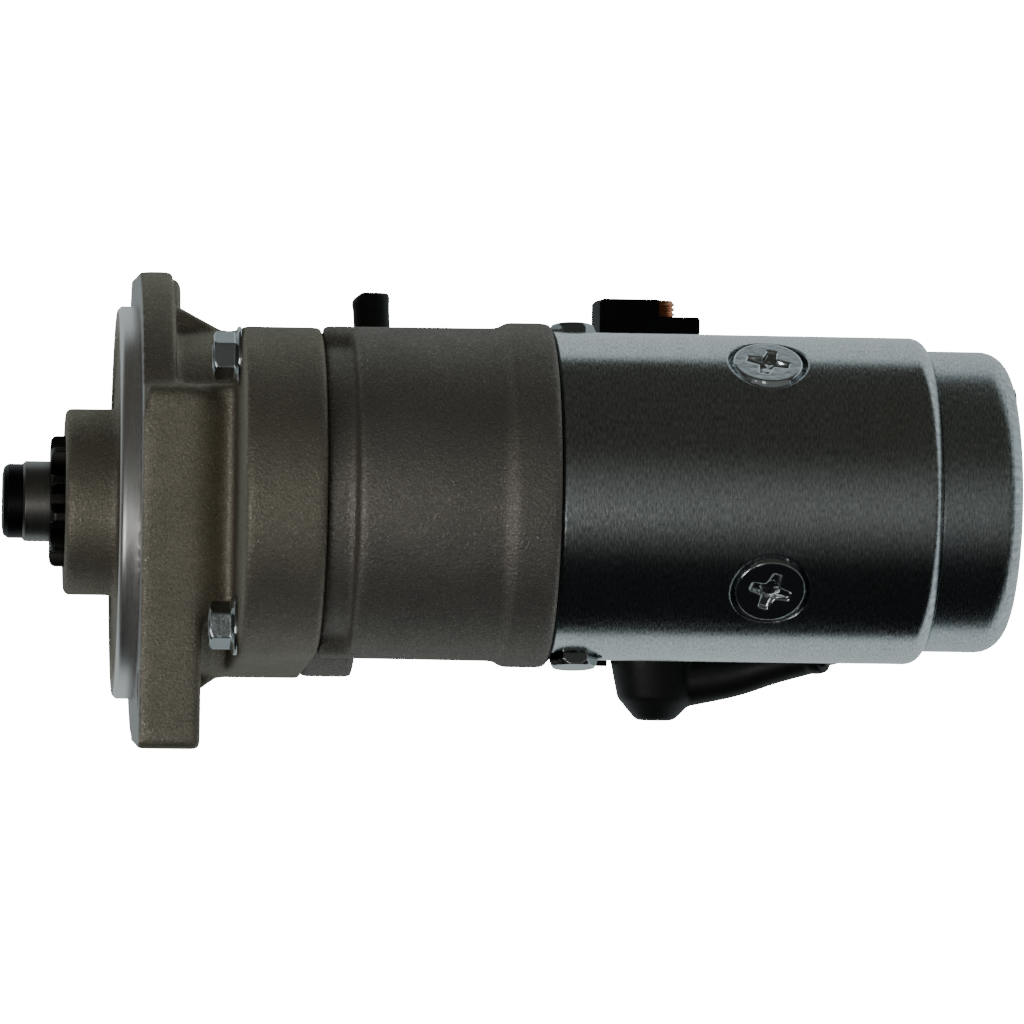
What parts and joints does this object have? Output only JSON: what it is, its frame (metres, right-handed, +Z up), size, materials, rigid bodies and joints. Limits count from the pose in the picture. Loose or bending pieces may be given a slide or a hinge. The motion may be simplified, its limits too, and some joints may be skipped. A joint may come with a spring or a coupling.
{
  "type": "starter motor",
  "caption": "Offset-gear engine starter motor with a flanged die-cast nose, sliding pinion, reduction gears, magnetic switch, plated steel yoke, booted motor terminal and vent hose.",
  "frame": {"origin": "pinion axis at the mounting face of the flange", "axes": "+X along the pinion axis from the flange towards the rear of the motor, -Y towards the motor's side, +Z up as pictured"},
  "size_m": [0.241, 0.1659, 0.1169],
  "materials": {
    "cast_aluminium": "sand-cast, matt",
    "zinc_steel": "zinc plated",
    "bright_steel": "ground",
    "dark_steel": "oil-blacked",
    "laminated_steel": "varnished laminations",
    "copper": "bare copper",
    "enamelled_copper": "enamelled wire",
    "rubber": "moulded rubber",
    "black_plastic": "moulded thermoset",
    "nylon": "moulded nylon",
    "carbon": "sintered copper-carbon",
    "brass_blade": "stamped brass"
  },
  "bodies": {
    "housing": {"drive_housing": "cast_aluminium", "centre_housing": "cast_aluminium", "flange_bolts": "zinc_steel", "yoke_seal": "rubber", "yoke": "zinc_steel", "yoke_bolts": "zinc_steel", "pole_screws": "zinc_steel", "pole_shoes": "laminated_steel", "field_coils": "enamelled_copper", "rear_cover": "zinc_steel", "cover_screws": "zinc_steel", "brush_plate": "zinc_steel", "brush_holders": "zinc_steel", "brushes": "carbon", "brush_springs": "bright_steel", "bearing_outer_races": "bright_steel", "idler_pin": "bright_steel", "switch_core": "dark_steel", "switch_bobbin": "nylon", "switch_coil": "enamelled_copper", "coil_end_plate": "dark_steel", "switch_cap": "black_plastic", "cap_screws": "zinc_steel", "battery_stud": "copper", "motor_stud": "copper", "motor_nut": "zinc_steel", "signal_terminal": "brass_blade", "motor_lead": "rubber", "lead_lug": "copper", "lead_boot": "rubber", "lead_grommet": "rubber", "vent_hose": "rubber"},
    "armature": {"armature_shaft": "bright_steel", "armature_core": "laminated_steel", "armature_windings": "enamelled_copper", "commutator": "copper", "armature_inner_races": "bright_steel", "armature_balls": "bright_steel"},
    "idler": {"idler_gear": "dark_steel"},
    "clutch_outer": {"clutch_gear": "dark_steel", "clutch_cover": "zinc_steel", "clutch_gear_race": "bright_steel", "clutch_gear_balls": "bright_steel", "clutch_rollers": "bright_steel", "roller_springs": "bright_steel"},
    "clutch_sleeve": {"clutch_inner": "dark_steel", "clutch_inner_race": "bright_steel", "clutch_inner_balls": "bright_steel"},
    "pinion_carrier": {"pinion_shaft": "bright_steel", "stop_collar": "bright_steel", "snap_ring": "bright_steel", "shaft_cap": "dark_steel", "return_spring_seat": "bright_steel", "return_spring": "bright_steel"},
    "pinion": {"pinion_gear": "dark_steel", "pinion_spring": "bright_steel"},
    "switch_plunger": {"plunger": "bright_steel", "push_ball": "bright_steel", "contact_disc": "copper", "contact_spring": "bright_steel"}
  },
  "joints": [
    {"name": "armature_spin", "type": "hinge", "parent": "housing", "child": "armature", "pos_m": [0.15, -0.06592, 0.00322], "axis": [1, 0, 0], "continuous": true},
    {"name": "idler_spin", "type": "hinge", "parent": "housing", "child": "idler", "pos_m": [0.03, -0.0427, 0.00209], "axis": [1, 0, 0], "continuous": true},
    {"name": "clutch_spin", "type": "hinge", "parent": "housing", "child": "clutch_outer", "pos_m": [0.03, 0, 0], "axis": [1, 0, 0], "continuous": true},
    {"name": "pinion_overrun", "type": "hinge", "parent": "clutch_outer", "child": "clutch_sleeve", "pos_m": [0.03, 0, 0], "axis": [1, 0, 0], "continuous": true},
    {"name": "pinion_slide", "type": "slide", "parent": "clutch_sleeve", "child": "pinion_carrier", "axis": [-1, 0, 0], "range_m": [0, 0.014], "stiffness_N_per_m": 500, "springref_m": -0.012, "deforming": ["return_spring"]},
    {"name": "pinion_cushion", "type": "slide", "parent": "pinion_carrier", "child": "pinion", "axis": [1, 0, 0], "range_m": [0, 0.003], "stiffness_N_per_m": 3000, "springref_m": -0.003, "deforming": ["pinion_spring"]},
    {"name": "plunger_slide", "type": "slide", "parent": "housing", "child": "switch_plunger", "axis": [-1, 0, 0], "range_m": [0, 0.014]}
  ],
  "couplings": [
    {"joint": "idler_spin", "follows": "armature_spin", "ratio": -0.55},
    {"joint": "clutch_spin", "follows": "armature_spin", "ratio": 0.2973},
    {"joint": "plunger_slide", "follows": "pinion_slide", "ratio": 1}
  ]
}
